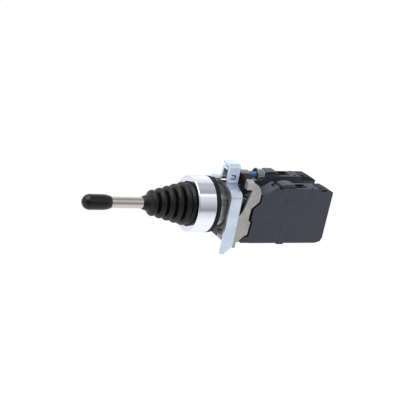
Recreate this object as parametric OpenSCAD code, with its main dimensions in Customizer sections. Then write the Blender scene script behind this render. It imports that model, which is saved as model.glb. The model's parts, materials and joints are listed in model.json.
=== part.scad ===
// Panel-mounted joystick switch with a spring-centred lever, four directions,
// a 22 mm barrel, a die-cast fixing collar and two columns of stacked contact blocks.
// The origin is the centre of the panel hole on the panel's front face. +Z runs along
// the lever towards the knob, +Y towards the clamp screw. All lengths in millimetres.

/* [Panel and head] */
// Outer diameter of the bezel and of the seal behind it
bezel_d = 29; // [27:0.5:34]
// Height of the bezel in front of the seal
bezel_h = 10; // [9:0.5:14]
// Wall of the bezel
bezel_wall = 0.9; // [0.8:0.1:1.2]
// Thickness of the panel seal
seal_t = 2.5; // [1.5:0.1:4]
// Diameter of the barrel that passes through the panel hole
barrel_d = 22; // [21.4:0.1:22.4]
// Wall of the barrel
barrel_wall = 1.4; // [1.2:0.1:1.6]
// How far the barrel reaches behind the panel's front face
barrel_reach = 9.8; // [9.6:0.1:10]
// Running clearance of pins and rods, on the radius
run_gap = 0.05; // [0.02:0.01:0.08]

/* [Lever and knob] */
// Height of the knob's tip above the panel's front face
knob_top = 68.5; // [62:0.5:80]
// Largest diameter of the knob
knob_d = 7.75; // [7.2:0.05:12]
// Length of the knob
knob_len = 14.8; // [12:0.1:16]
// Diameter of the lever's shaft
shaft_d = 5.65; // [5:0.05:6]
// Largest tilt of the lever each way, in degrees
tilt_max = 14; // [8:1:14]

/* [Boot] */
// Number of full folds of the boot
folds = 5; // [4:1:6]
// Distance from fold to fold
fold_pitch = 4.15; // [3.6:0.05:4.2]
// Outer radius of the smallest fold
fold_r_top = 6.6; // [6.2:0.1:7.4]
// Outer radius of the largest fold
fold_r_base = 11; // [10.4:0.1:11.2]
// Depth of the grooves between the folds
fold_depth = 2.2; // [1.6:0.1:2.2]
// Wall of the boot
boot_wall = 0.8; // [0.6:0.05:0.9]
// Outer radius of the lip round the shaft
lip_r = 3.9; // [3.8:0.1:4.4]

/* [Gimbal and push rods] */
// Height of the tilt axes above the panel's front face
pivot_z = 4; // [3.6:0.1:4.2]
// Outer radius of the gimbal ring
gimbal_r = 6.6; // [6.3:0.05:6.7]
// Width of the gimbal ring's wall
gimbal_wall = 1.7; // [1.5:0.05:1.7]
// Height of the gimbal ring
gimbal_h = 3.2; // [2.8:0.1:3.2]
// Radius of the gimbal's pins
gimbal_pin_r = 1; // [0.8:0.05:1]
// Radius of the tilting actuator plate
plate_r = 8.2; // [7.8:0.05:8.2]
// Thickness of the actuator plate
plate_t = 1.5; // [1.2:0.1:1.6]
// Radius of the circle that the push rods stand on
rod_circle_r = 7.2; // [7:0.05:7.25]
// Radius of a push rod
rod_r = 1.1; // [0.9:0.05:1.1]

/* [Collar and clamp] */
// Wall of the collar's tube and of the locking ring
ring_wall = 1.5; // [1.3:0.1:1.6]
// Reach of the collar below the barrel's axis
collar_down = 15.8; // [15:0.1:16.2]
// Wall of the collar's sides
collar_wall = 1.25; // [1:0.05:1.3]
// Distance of the clamp screw from the middle, across the part
screw_x = 3; // [2.6:0.1:3.2]
// Height of the clamp screw above the barrel's axis
screw_y = 17.9; // [17.7:0.1:18.2]
// Thread diameter of the clamp screw
screw_d = 3.5; // [3:0.1:3.7]
// Thickness of the clamp's sheet metal
sheet_t = 1.6; // [1.2:0.1:1.6]
// Width of the clamp's strap, along the barrel
strap_w = 6.2; // [5.4:0.1:6.2]
// How far the clamp's front edge stands behind the panel's front face
clamp_gap = 4.3; // [4:0.1:4.4]
// Reach of the clamp's arms below the barrel's axis
arm_down = 21.7; // [19:0.1:24]

/* [Contact blocks] */
// Width of one contact block
block_w = 8.2; // [8:0.1:8.3]
// Distance of a column's middle from the collar's outer side
column_inset = 3.75; // [3.6:0.05:3.9]
// Depth behind the panel's front face at which the front blocks begin
block_front = 17.05; // [17:0.05:17.6]
// Depth at which the rear blocks begin
row_split = 38.1; // [37.6:0.1:38.6]
// Depth of the rear faces of the rear blocks
block_rear = 65.6; // [64:0.1:68]
// Reach of a block above the barrel's axis
block_up = 14.4; // [14.2:0.1:14.8]
// Reach of a block below the barrel's axis
block_down = 16.2; // [15.8:0.1:16.8]
// Height of a plunger above or below the barrel's axis
plunger_y = 5; // [4.8:0.1:5.2]
// Wall of the block casings
case_wall = 1; // [0.9:0.05:1.1]

/* [Hidden] */
$fn = 96;
eps = 0.01;

// Colours
black_rubber = [0.07, 0.07, 0.08];
black_plastic = [0.13, 0.14, 0.17];
inner_plastic = [0.75, 0.74, 0.7];
nickel = [0.74, 0.71, 0.68];
polished = [0.82, 0.83, 0.86];
cast_grey = [0.64, 0.62, 0.6];
zinc = [0.75, 0.8, 0.86];
spring_steel = [0.6, 0.6, 0.62];
brass = [0.78, 0.62, 0.3];
silver = [0.8, 0.8, 0.78];

// Head, derived
bezel_r = bezel_d / 2;
bezel_top = seal_t + bezel_h;
bezel_in_r = bezel_r - bezel_wall;
barrel_r = barrel_d / 2;
barrel_in_r = barrel_r - barrel_wall;
lip_t = 1.5;
bead_t = 1.5;
retainer_t = 0.8;
bead_top = bezel_top - lip_t - 0.05;
bead_low = bead_top - bead_t;
retainer_low = bead_low - retainer_t;
mouth_r = fold_r_base + 0.4;
bead_r = bezel_in_r - 0.2;
flange_r = bezel_in_r - 0.1;

// Lever and gimbal, derived
shaft_r = shaft_d / 2;
stud_r = 2;
hub_r = gimbal_r - gimbal_wall - 0.4;
gimbal_low = pivot_z - gimbal_h / 2;
plate_top = gimbal_low - gimbal_r * sin(tilt_max) - 0.3;
plate_low = plate_top - plate_t;
nut_t = 1.6;
hub_top = pivot_z + hub_r + 0.6;
knob_r = knob_d / 2;
knob_low = knob_top - knob_len;

// Push rods, derived. The plate's underside drops and spreads a little as it tilts.
plate_drop = (pivot_z - plate_low) * (1 / pow(cos(tilt_max), 2) - 1);
rod_top = plate_low - plate_drop - 0.14;
guide_t = 2.2;
guide_top = -barrel_reach + 3;
guide_low = guide_top - guide_t;
ledge_t = 1;
clip_t = 0.6;
rod_travel = rod_circle_r * tan(tilt_max) / cos(tilt_max);
foot_top = -barrel_reach - 0.8 - rod_travel;
foot_t = 2;
foot_low = foot_top - foot_t;

// Collar and clamp, derived
ring_t = 2;
ring_front = -5.4;
ring_r = barrel_r + ring_wall;
collar_half_w = ring_r + 0.4;
column_x = collar_half_w - column_inset;
tube_front = ring_front - ring_t - 0.15;
web_top = -8.9;
web_low = -barrel_reach - 0.5;
web_up = 4;
frame_low = -block_front + 0.05;
screw_r = screw_d / 2;
lug_front = -12.3;
lug_rear = -17.2;
lug_half = 3.8;
lug_top = 20.2;
head_r = 3;
head_front = -22.6;
head_rear = -26.2;
web_t = 1.2;
bend_d = 1.9;
arm_out = collar_half_w + 0.2 + sheet_t;
strap_front = -clamp_gap;
strap_rear = strap_front - strap_w;
near_wall_x = 7;
far_wall_x = -0.8;
roof_y = 23.2;

// Contact blocks, derived: name, side, front depth, rear depth, plunger's side
blocks = [
    ["front_right", 1, -block_front, -row_split + 0.1, 1],
    ["front_left", -1, -block_front, -row_split + 0.1, 1],
    ["rear_right", 1, -row_split, -block_rear, -1],
    ["rear_left", -1, -row_split, -block_rear, -1]
];
block_out = column_x + block_w / 2;
block_in = column_x - block_w / 2;
cover_t = 0.9;
tray_in = block_in + cover_t;
plunger_w = 4;
plunger_d = 3.6;
plunger_gap = 0.12;
bridge_w = 3;
bridge_t = 0.8;
terminal_half = 1.9;
stack_pitch = 21.6;
crown_y = block_up + 0.8;

// ---------- helpers ----------

// A ring or disc on the lever's axis
module ring(r_out, r_in, z_low, z_top) {
    translate([0, 0, z_low]) difference() {
        cylinder(r = r_out, h = z_top - z_low);
        translate([0, 0, -1]) cylinder(r = r_in, h = z_top - z_low + 2);
    }
}

// A flat outline given as [y, z] points, made solid from x0 to x1
module side_plate(points, x0, x1) {
    translate([x0, 0, 0]) rotate([90, 0, 90]) linear_extrude(x1 - x0) polygon(points);
}

// A box between two corners
module box(a, b) {
    translate(a) cube(b - a);
}

// Bent sheet of thickness t whose middle runs along [x, y] points, from z0 to z1
function side_of(a, b) = [a[1] - b[1], b[0] - a[0]] / norm(b - a);
function edge_at(p, i, h) = let (last = len(p) - 1,
    m = side_of(p[max(i - 1, 0)], p[max(i, 1)]) + side_of(p[min(i, last - 1)], p[min(i + 1, last)]))
    p[i] + 2 * h * m / (m * m);
// Corners inside the line are turned into bends that start at distance d from them
function bend_at(p, i, d) = let (a = p[i] + d * (p[i - 1] - p[i]) / norm(p[i - 1] - p[i]),
    b = p[i] + d * (p[i + 1] - p[i]) / norm(p[i + 1] - p[i]))
    [for (u = [0 : 0.25 : 1]) (1 - u) * (1 - u) * a + 2 * u * (1 - u) * p[i] + u * u * b];
function bent(p, d) = concat([p[0]], [for (i = [1 : len(p) - 2]) each bend_at(p, i, d)],
    [p[len(p) - 1]]);
module sheet(points, t, z0, z1, bend) {
    p = bent(points, bend);
    translate([0, 0, z0]) linear_extrude(z1 - z0) polygon(concat(
        [for (i = [0 : len(p) - 1]) edge_at(p, i, t / 2)],
        [for (i = [len(p) - 1 : -1 : 0]) edge_at(p, i, -t / 2)]));
}

// A coil spring standing on z = 0, closed at both ends
module coil(coil_r, wire_r, height, turns, sides = 6, steps = 16) {
    n = round(turns * steps);
    rise = height - 2 * wire_r;
    pts = [for (i = [0 : n]) for (j = [0 : sides - 1])
        let (a = 360 * i / steps, s = i / n, e = 1 / turns,
             u = s < e ? 0 : s > 1 - e ? 1 : (s - e) / (1 - 2 * e),
             lift = wire_r + 2 * wire_r * min(1, s / e)
                    + (rise - 4 * wire_r) * u
                    + 2 * wire_r * max(0, (s - 1 + e) / e),
             b = 360 * j / sides, r = coil_r + wire_r * cos(b))
        [r * cos(a), r * sin(a), lift + wire_r * sin(b)]];
    walls = [for (i = [0 : n - 1]) for (j = [0 : sides - 1])
        let (k = (j + 1) % sides, a = i * sides, b = a + sides)
        each [[a + k, b + k, b + j], [a + k, b + j, a + j]]];
    polyhedron(pts, concat(walls, [[for (j = [sides - 1 : -1 : 0]) j]],
        [[for (j = [0 : sides - 1]) n * sides + j]]), convexity = 10);
}

// ---------- head ----------

module bezel_ring() {
    c = 0.5;
    color(polished) rotate_extrude() polygon([
        [bezel_in_r, seal_t], [bezel_r - c / 2, seal_t], [bezel_r, seal_t + c / 2],
        [bezel_r, bezel_top - c], [bezel_r - c, bezel_top - 0.1],
        [mouth_r + 0.3, bezel_top], [mouth_r, bezel_top - 0.3],
        [mouth_r, bezel_top - lip_t], [bezel_in_r, bezel_top - lip_t]
    ]);
}

module panel_seal() {
    color(black_rubber) ring(bezel_r, barrel_r + run_gap, 0, seal_t);
}

// The moulded core: a flange inside the bezel and the barrel through the panel
module head_barrel() {
    color(cast_grey) difference() {
        union() {
            ring(flange_r, barrel_in_r, seal_t, retainer_low);
            ring(barrel_r, barrel_in_r, -barrel_reach, seal_t + eps);
            ring(barrel_in_r + eps, barrel_in_r - 0.6, guide_top, guide_top + ledge_t);
        }
        for (s = [0, 180]) rotate([-90, 0, s]) translate([0, -pivot_z, barrel_in_r - 1])
            cylinder(r = gimbal_pin_r + 0.01, h = barrel_r + 0.5 - barrel_in_r + 1, $fn = 48);
        translate([0, 0, guide_low - 0.05 - clip_t])
            ring(barrel_in_r + 0.65, barrel_in_r - 1, 0, clip_t + 0.05);
        for (a = [25, 205]) rotate([0, 0, a])
            box([barrel_r - 0.5, -1.6, -barrel_reach - 1], [barrel_r + 1, 1.6, -0.6]);
    }
}

module boot_retainer() {
    color(black_plastic) ring(bead_r, barrel_in_r + 0.2, retainer_low, bead_low);
}

// Half of the boot's section: rounded folds that widen towards the bezel
function fold_z(k) = bezel_top + 2.7 + fold_pitch * (folds - 1 - k);
function fold_r(k) = fold_r_top + (fold_r_base - fold_r_top) * k / (folds - 1);
function fold_round(k, inset) = [for (a = [75 : -30 : -75])
    [fold_r(k) - 1.55 + (1.55 - inset) * cos(a), fold_z(k) + (1.6 - inset * 0.6) * sin(a)]];
function groove(k, inset) =
    [[fold_r(k) - fold_depth - inset + 0.2, fold_z(k) - fold_pitch / 2 + 0.25],
     [fold_r(k) - fold_depth - inset + 0.2, fold_z(k) - fold_pitch / 2 - 0.25]];
boot_top = fold_z(0) + 5.2;
boot_neck = fold_z(0) + 2.6;
boot_outer = concat(
    [[lip_r - 0.7, boot_top], [lip_r - 0.55, boot_top - 0.5], [lip_r - 0.1, boot_top - 1.6],
     [lip_r, boot_neck + 0.3], [lip_r + 0.5, boot_neck - 0.45]],
    [for (k = [0 : folds - 1]) each concat(fold_round(k, 0), groove(k, 0))],
    [[fold_r_base + 0.1, bezel_top - 0.2], [fold_r_base + 0.1, bead_top],
     [bead_r, bead_top], [bead_r, bead_low]]);
boot_inner = concat(
    [[shaft_r + run_gap, boot_top], [shaft_r + run_gap, boot_neck]],
    [for (k = [0 : folds - 1]) each concat(fold_round(k, boot_wall), groove(k, boot_wall))],
    [[fold_r_base - 1, bezel_top - 0.6], [fold_r_base - 1, bead_low]]);

module boot() {
    color(black_rubber) rotate_extrude() polygon(concat(boot_outer,
        [for (i = [len(boot_inner) - 1 : -1 : 0]) boot_inner[i]]));
}

// ---------- lever ----------

module knob() {
    color(black_rubber) difference() {
        rotate_extrude() polygon(concat(
            [[0, knob_low], [shaft_r + 0.08, knob_low], [knob_r - 0.7, knob_low + 0.55],
             [knob_r - 0.35, knob_low + 1.5], [knob_r, knob_low + 3.6]],
            [for (a = [0 : 10 : 90]) [knob_r * cos(a), knob_top - knob_r + knob_r * sin(a)]]));
        translate([0, 0, knob_low - 1]) cylinder(r = shaft_r + 0.01, h = knob_len - 4);
    }
}

module lever_shaft() {
    color(nickel) difference() {
        union() {
            translate([0, 0, hub_top]) cylinder(r = shaft_r, h = knob_top - 5.2 - hub_top);
            translate([0, 0, plate_low - nut_t - 0.5])
                cylinder(r = stud_r, h = hub_top - plate_low + nut_t + 0.5 + eps);
        }
        translate([-5, 0, pivot_z]) rotate([0, 90, 0])
            cylinder(r = gimbal_pin_r + 0.01, h = 10, $fn = 48);
    }
}

// The ball-shaped hub that swings in the gimbal ring
module lever_hub() {
    color(black_plastic) difference() {
        union() {
            translate([0, 0, pivot_z]) sphere(r = hub_r);
            translate([0, 0, pivot_z]) cylinder(r = shaft_r + 0.6, h = hub_top - pivot_z);
            translate([0, 0, plate_top]) cylinder(r = shaft_r, h = pivot_z - plate_top);
        }
        translate([0, 0, plate_top - 5]) cylinder(r = hub_r, h = 5);
        translate([0, 0, plate_top - 1]) cylinder(r = stud_r + 0.01, h = 20);
        translate([-hub_r - 1, 0, pivot_z]) rotate([0, 90, 0])
            cylinder(r = gimbal_pin_r + 0.01, h = 2 * hub_r + 2, $fn = 48);
    }
}

module hub_pin() {
    color(nickel) translate([-gimbal_r + 0.2, 0, pivot_z]) rotate([0, 90, 0])
        cylinder(r = gimbal_pin_r, h = 2 * gimbal_r - 0.4, $fn = 48);
}

module actuator_plate() {
    color(inner_plastic) difference() {
        ring(plate_r, stud_r + 0.01, plate_low, plate_top);
        for (a = [45 : 90 : 315]) rotate([0, 0, a])
            translate([plate_r, 0, plate_low - 1]) cylinder(r = 1.6, h = plate_t + 2, $fn = 32);
    }
}

module shaft_nut() {
    color(nickel) translate([0, 0, plate_low - nut_t]) difference() {
        cylinder(r = 3.4, h = nut_t, $fn = 6);
        translate([0, 0, -1]) cylinder(r = stud_r + 0.01, h = nut_t + 2);
    }
}

module gimbal_ring() {
    color(nickel) difference() {
        ring(gimbal_r, gimbal_r - gimbal_wall, gimbal_low, gimbal_low + gimbal_h);
        translate([0, 0, pivot_z]) for (r = [[0, 90, 0], [-90, 0, 0]]) rotate(r)
            translate([0, 0, -10]) cylinder(r = gimbal_pin_r + run_gap, h = 20, $fn = 48);
    }
}

// Two pins that carry the gimbal ring in the head
module gimbal_pins() {
    pin_in = gimbal_r - gimbal_wall + 0.2;
    color(nickel) for (s = [0, 180]) rotate([-90, 0, s])
        translate([0, -pivot_z, pin_in])
            cylinder(r = gimbal_pin_r, h = barrel_r + 0.4 - pin_in, $fn = 48);
}

module return_spring() {
    color(spring_steel) translate([0, 0, guide_top + 0.05])
        coil(5, 0.45, plate_low - guide_top - 0.15, 3.5, 8, 20);
}

// ---------- push rods ----------

// Slotted disc that guides the four rods
module rod_guide() {
    color(inner_plastic) difference() {
        ring(barrel_in_r - 0.03, 2.4, guide_low, guide_top);
        for (a = [0 : 90 : 270]) rotate([0, 0, a])
            translate([rod_circle_r, 0, guide_low - 1])
                cylinder(r = rod_r + run_gap, h = guide_t + 2, $fn = 48);
    }
}

module guide_circlip() {
    color(spring_steel) difference() {
        ring(barrel_in_r + 0.6, barrel_in_r - 0.8, guide_low - clip_t, guide_low);
        rotate([0, 0, 45]) box([0, -1.5, guide_low - 2], [20, 1.5, guide_low + 2]);
    }
}

// A rod at angle a whose foot reaches the plunger at [x, y]
module push_rod(a, x, y) {
    px = rod_circle_r * cos(a);
    py = rod_circle_r * sin(a);
    color(inner_plastic) {
        translate([px, py, foot_low]) cylinder(r = rod_r, h = rod_top - rod_r - foot_low, $fn = 48);
        translate([px, py, rod_top - rod_r]) sphere(r = rod_r, $fn = 48);
        translate([x, y, foot_low]) cylinder(r = 1.8, h = foot_t, $fn = 48);
        translate([px, py, foot_low]) cylinder(r = 1.6, h = foot_t, $fn = 48);
        translate([px, py, foot_low]) rotate([0, 0, atan2(y - py, x - px)])
            translate([0, -1.3, 0]) cube([norm([x - px, y - py]), 2.6, foot_t]);
    }
}

module push_rod_east() { push_rod(0, column_x, plunger_y); }
module push_rod_north() { push_rod(90, -column_x, plunger_y); }
module push_rod_west() { push_rod(180, -column_x, -plunger_y); }
module push_rod_south() { push_rod(270, column_x, -plunger_y); }

// ---------- collar and clamp ----------

// Outline of a collar side as [y, z] points: cut away in front of the upper rear edge
side_outline = [
    [-collar_down, web_top], [-1, web_top], [-1, -12.2], [1.1, -13.5], [12.2, -16.4],
    [13.6, -15.8], [15.6, -13.6], [16.6, -13.4], [16.6, -17], [15.4, -19.4], [13.3, -21.1],
    [11.2, -22], [6.9, -22], [6.2, -21.6], [2.8, -18], [-3.6, -17.8], [-4.7, -19.2],
    [-11.6, -18.8], [-12.6, -16.9], [-14.6, -15], [-collar_down, -14.8]
];

module fixing_collar() {
    w = collar_half_w;
    color(cast_grey) difference() {
        union() {
            ring(ring_r, barrel_r + 0.15, web_low, tube_front);
            difference() {
                box([-w, -collar_down, web_low], [w, web_up, web_top]);
                translate([0, 0, web_low - 1]) cylinder(r = barrel_r + 0.15, h = 20);
            }
            side_plate(side_outline, w - collar_wall, w);
            side_plate(side_outline, -w, collar_wall - w);
            box([-w + 0.2, -collar_down, -14.4], [w - 0.2, -collar_down + 1.8, web_top]);
            // Rear shoulder that climbs from both sides to the screw's lug
            translate([0, 0, frame_low]) linear_extrude(lug_front - frame_low - 0.9) polygon([
                [w, 13], [w, 16.6], [screw_x + lug_half - 1, lug_top - 1.2],
                [screw_x - lug_half + 1, lug_top - 1.2], [-w, 16.6], [-w, 13]]);
            box([screw_x - lug_half, 13.4, lug_rear], [screw_x + lug_half, lug_top - lug_half, lug_front]);
            translate([screw_x, lug_top - lug_half, lug_rear])
                cylinder(r = lug_half, h = lug_front - lug_rear);
            // Bottom lug
            side_plate([[-collar_down + 1, web_top], [-17.2, web_top], [-19.3, -10.4],
                [-19.3, -12.4], [-collar_down + 1, -12.4]], -5, 3.5);
            // Foot beside the lower end of the near arm
            box([9.6, -19.2, -13.6], [w - 0.6, -collar_down + 0.5, -12]);
        }
        translate([screw_x, screw_y, lug_rear - 1])
            cylinder(r = screw_r + run_gap, h = 20, $fn = 48);
        box([-3.8, -18.4, -11.6], [4, -16.4, -9.8]);
    }
}

// Locking ring between the barrel and the collar, with its finger lever
module lock_ring() {
    color(cast_grey) {
        ring(ring_r, barrel_r + 0.1, ring_front - ring_t, ring_front);
        difference() {
            side_plate([[0.9 - ring_r, ring_front], [-ring_r - 2.1, ring_front],
                [-ring_r - 4.3, ring_front - 1.6], [-ring_r - 4.3, ring_front - ring_t],
                [0.9 - ring_r, ring_front - ring_t]], -4.6, 2.6);
            translate([0, 0, ring_front - ring_t - 1]) cylinder(r = barrel_r + 0.1, h = 9);
            box([-3.4, -ring_r - 3.3, ring_front - 1.4], [1.4, -ring_r - 0.7, ring_front + 1]);
        }
    }
}

// Sheet-metal clamp: two long arms, joined over the screw by a lapped box
module clamp_bracket() {
    half = sheet_t / 2;
    arm_x = arm_out - half;
    near_x = near_wall_x - half;
    far_x = far_wall_x + half;
    lap_y = roof_y - sheet_t - 0.4;
    right_leaf = [[arm_x, -arm_down], [arm_x, 10.2], [near_x, 12.9], [near_x, roof_y],
        [far_x - half + 0.2, roof_y]];
    left_leaf = [[-arm_x, -arm_down], [-arm_x, 6.4], [-9.4, 12.6], [far_x, 14.6],
        [far_x, lap_y], [near_x - half - 0.5, lap_y]];
    color(zinc) difference() {
        union() {
            sheet(right_leaf, sheet_t, strap_rear, strap_front, bend_d);
            sheet(left_leaf, sheet_t, strap_rear, strap_front, bend_d);
            // Web that the screw's collared end turns in
            box([far_x, 14.6, strap_rear], [near_x, lap_y, strap_rear + web_t]);
        }
        // Slanted lower ends
        for (s = [-1, 1]) translate([s * arm_x, 0, 0])
            side_plate([[-arm_down - 3, strap_rear - 1], [-17.2, strap_rear - 1],
                [-17.2, strap_rear], [-arm_down + 0.6, strap_front - 2.4],
                [-arm_down - 3, strap_front - 2.4]], -3, 3);
        // Lanced slot
        difference() {
            box([near_x - 2, 16.2, strap_front - 4.4], [near_x + 2, 18.6, strap_front - 1.8]);
            box([near_x - 3, 16.9, strap_front - 3.6], [near_x + 3, 17.9, strap_front - 1]);
        }
        translate([screw_x, screw_y, strap_rear - 1])
            cylinder(r = screw_r - 0.3 + run_gap, h = web_t + 2, $fn = 48);
    }
}

// Screw with a cross-slotted head and a collared end held in the clamp's web
module clamp_screw() {
    web_front = strap_rear + web_t;
    neck_r = screw_r - 0.3;
    color(nickel) translate([screw_x, screw_y, 0]) difference() {
        union() {
            translate([0, 0, head_front])
                cylinder(r = screw_r, h = strap_rear - 0.05 - head_front, $fn = 48);
            translate([0, 0, strap_rear - 0.1]) cylinder(r = neck_r, h = web_t + 0.2, $fn = 48);
            translate([0, 0, web_front + 0.05]) cylinder(r = screw_r + 0.45, h = 1.5, $fn = 48);
            translate([0, 0, head_rear]) cylinder(r1 = head_r - 0.3, r2 = head_r, h = 0.5, $fn = 48);
            translate([0, 0, head_rear + 0.5])
                cylinder(r = head_r, h = head_front - head_rear - 0.5, $fn = 48);
        }
        for (a = [20, 110]) rotate([0, 0, a])
            box([-2.2, -0.4, head_rear - 1], [2.2, 0.4, head_rear + 1.6]);
    }
}

module screw_washer() {
    color(nickel) translate([screw_x, screw_y, 0])
        ring(head_r + 0.5, screw_r + 0.02, head_front, head_front + 0.7);
}

// ---------- contact blocks ----------

// Places what is drawn for the right column on the side that b names
module on_side(b) {
    if (b[1] > 0) children();
    else mirror([1, 0, 0]) children();
}

function is_front(b) = b[4] > 0;
// Where a block's terminal features end, counted from the rear of its own pitch
function foot_z(b) = is_front(b) ? stack_pitch - block_rear : -block_rear;
function plunger_mid(b) = b[4] * plunger_y;
function shoulder_z(b) = b[2] - 1.2 - rod_travel - 0.3;
function bridge_z(b) = shoulder_z(b) - 1.4;
// Upper face of the fixed contacts: the bridge lands on them at full tilt
function contact_z(b) = bridge_z(b) - bridge_t - 0.4 - rod_travel - 0.05;
// The front blocks' terminals stand back from the ramp
function terminal_z(b) = contact_z(b) - (is_front(b) ? 4 : 0);
function terminal_y(s) = s > 0 ? (block_up - 1.9 + 8.6) / 2 : -(block_down - case_wall + 8.6) / 2;

// Outline of a block from the side as [y, z] points
function block_outline(b) = let (v = foot_z(b)) is_front(b)
    ? [[-block_down, b[3]], [-block_down, b[2] - 4], [-12.6, b[2]], [7.4, b[2]],
       [block_up - 4.3, b[2] - 5.4], [block_up - 0.8, b[2] - 11.6], [crown_y, v + 12.9],
       [crown_y, v + 12.3], [block_up - 0.9, v + 12.1], [block_up - 0.9, v + 9.6],
       [block_up, v + 9.5], [block_up, b[3]]]
    : [[-block_down, b[2]], [block_up, b[2]], [block_up + 0.4, b[3] + 4.6],
       [block_up - 1.5, b[3]], [-13.1, b[3]], [-14.2, b[3] + 0.6], [-15.2, b[3] + 0.8],
       [-block_down, b[3] + 4.2]];

// Ridge on top of a rear block as [y, z] points: a ramp, a slot for the next latch, a slope
function ridge(b) = let (v = foot_z(b))
    [[block_up - 1.6, v + 17], [block_up - 0.4, v + 15.6], [crown_y, v + 12.9],
     [crown_y, v + 12.3], [block_up - 0.9, v + 12.1], [block_up - 0.9, v + 9.6],
     [crown_y - 0.1, v + 9.4], [crown_y - 0.1, v + 7], [block_up - 1.6, v + 2.6]];

// The front blocks' outer skin stops short of the collar's side
skin_edge = [[20, -16], [20, -22.4], [10, -23], [5.9, -22.7], [2.6, -19.3], [-3.4, -19.3],
    [-4.5, -20.2], [-12.5, -19.6], [-13.3, -16]];

// A square passage for a plunger, from z0 to z1
module plunger_way(y, z0, z1) {
    half_w = plunger_w / 2 + plunger_gap;
    half_d = plunger_d / 2 + plunger_gap;
    box([column_x - half_w, y - half_d, z0], [column_x + half_w, y + half_d, z1]);
}

module casing(b) {
    zf = b[2];
    zr = b[3];
    v = foot_z(b);
    zc = contact_z(b);
    zt = terminal_z(b);
    skin = block_out - case_wall;
    color(black_plastic) difference() {
        union() {
            side_plate(block_outline(b), tray_in, block_out);
            if (is_front(b)) {
                // Hook that holds on to the collar
                side_plate([[-block_down, zf - 4.2], [-block_down, zf + 1.2], [-15.1, zf + 1.7],
                    [-14.5, zf + 1.4], [-12.9, zf - 0.2], [-12.4, zf - 1.5], [-12.8, zf - 4.2]],
                    block_out - 1.7, block_out - 0.3);
            } else {
                side_plate(ridge(b), tray_in + 0.4, block_out - 0.9);
                // Latch that reaches over the block in front, and a rib below
                side_plate([[block_up + 0.15, zf], [block_up + 0.15, zf + 4.4],
                    [block_up + 1.2, zf + 4.2], [crown_y + 1.1, zf + 2.2], [crown_y + 1.2, zf - 2.2],
                    [crown_y + 0.5, zf - 4], [block_up - 0.8, zf - 6.4], [block_up - 0.8, zf]],
                    tray_in + 0.4, block_out - 0.9);
                box([tray_in + 1, -block_down - 1.1, zf - 4.2],
                    [block_out - 1, -block_down + eps, zf - 0.2]);
            }
        }
        if (is_front(b)) side_plate(skin_edge, block_out - 1.85, block_out + 1);
        // Chamber of the contacts
        box([tray_in - 1, -7.8, zr + case_wall], [skin, 7.8, zf - 1.2]);
        for (s = [-1, 1]) {
            y0 = terminal_y(s) - terminal_half;
            y1 = terminal_y(s) + terminal_half;
            // Chamber of one terminal, its screwdriver way and its wire mouth
            box([tray_in - 1, y0, zt - 5.3], [skin, y1, zt + 0.9]);
            translate([column_x, terminal_y(s), zr - 1])
                cylinder(r = 1.9, h = zt - 5 - zr + 1, $fn = 32);
            box([column_x - 1.7, s > 0 ? y1 - 0.1 : -block_down - 1, zt - 3],
                [column_x + 1.7, s > 0 ? block_up + 4 : y0 + 0.1, zt - 0.7]);
            // Slit for the terminal strip
            box([skin - 0.75, s > 0 ? 7.7 : y1 - 0.1, min(zt - 0.7, zc - 1.7)],
                [skin, s > 0 ? y0 + 0.1 : -7.7, zc + 0.1]);
        }
        // Recess in front of the ramp, and a notch in the upper rear edge
        if (!is_front(b)) {
            side_plate([[block_up - 1.2, v + 22.2], [block_up + 4, v + 22.2], [block_up + 4, v + 15],
                [block_up - 0.2, v + 15.4], [block_up - 1.2, v + 16.8]],
                tray_in + 0.5, block_out - 0.9);
            box([block_out - 0.5, block_up - 1.1, v + 4.4], [block_out + 1, block_up - 0.1, v + 7.6]);
        }
        // Ways of the plungers: the front block has a second one, right through
        plunger_way(plunger_mid(b), zf - 3, zf + 1);
        if (is_front(b)) {
            plunger_way(-plunger_y, zf - 3, zf + 1);
            plunger_way(-plunger_y, zr - 1, zr + 3);
        }
    }
}

// Flat cover on the inner side of a block
module cover(b) {
    color(black_plastic) difference() {
        side_plate(block_outline(b), block_in, tray_in - 0.02);
        for (s = [-1, 1]) translate([block_in - 1, s * 8.2, b[3] + 3.4])
            rotate([0, 90, 0]) cylinder(r = 0.8, h = 3, $fn = 32);
    }
}

// Plunger: the rear one passes through the front block to the rods
module plunger(b) {
    py = plunger_mid(b);
    shoulder = shoulder_z(b);
    half_w = plunger_w / 2;
    half_d = plunger_d / 2;
    color(inner_plastic) difference() {
        union() {
            box([column_x - half_w, py - half_d, shoulder - 6.6],
                [column_x + half_w, py + half_d, foot_low - 0.08]);
            box([column_x - half_w - 0.4, py - half_d, shoulder - 6.6],
                [column_x + half_w + 0.4, py + half_d, shoulder]);
        }
        // Window of the contact bridge
        box([column_x - bridge_w / 2 - 0.1, py - 5, shoulder - 4.6],
            [column_x + bridge_w / 2 + 0.1, py + 5, shoulder - 1.4]);
        // Seat of the spring
        translate([column_x, py, shoulder - 7.6]) cylinder(r = 1.5, h = 2, $fn = 48);
    }
}

// Bar that joins the two fixed contacts when the plunger is down
module bridge(b) {
    py = plunger_mid(b);
    z = bridge_z(b);
    color(silver) {
        box([column_x - bridge_w / 2, py - 2.7, z - bridge_t], [column_x + bridge_w / 2, py + 2.7, z]);
        for (s = [-1, 1]) translate([column_x, py + s * 2.2, z - bridge_t - 0.4])
            cylinder(r = 0.5, h = 0.5, $fn = 32);
    }
}

module plunger_spring(b) {
    bottom = b[3] + case_wall + 0.03;
    top = shoulder_z(b) - 5.6;
    color(spring_steel) translate([b[1] * column_x, plunger_mid(b), bottom])
        coil(1.1, 0.25, top - bottom - 0.03, is_front(b) ? 7 : 10, 6, 12);
}

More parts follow.
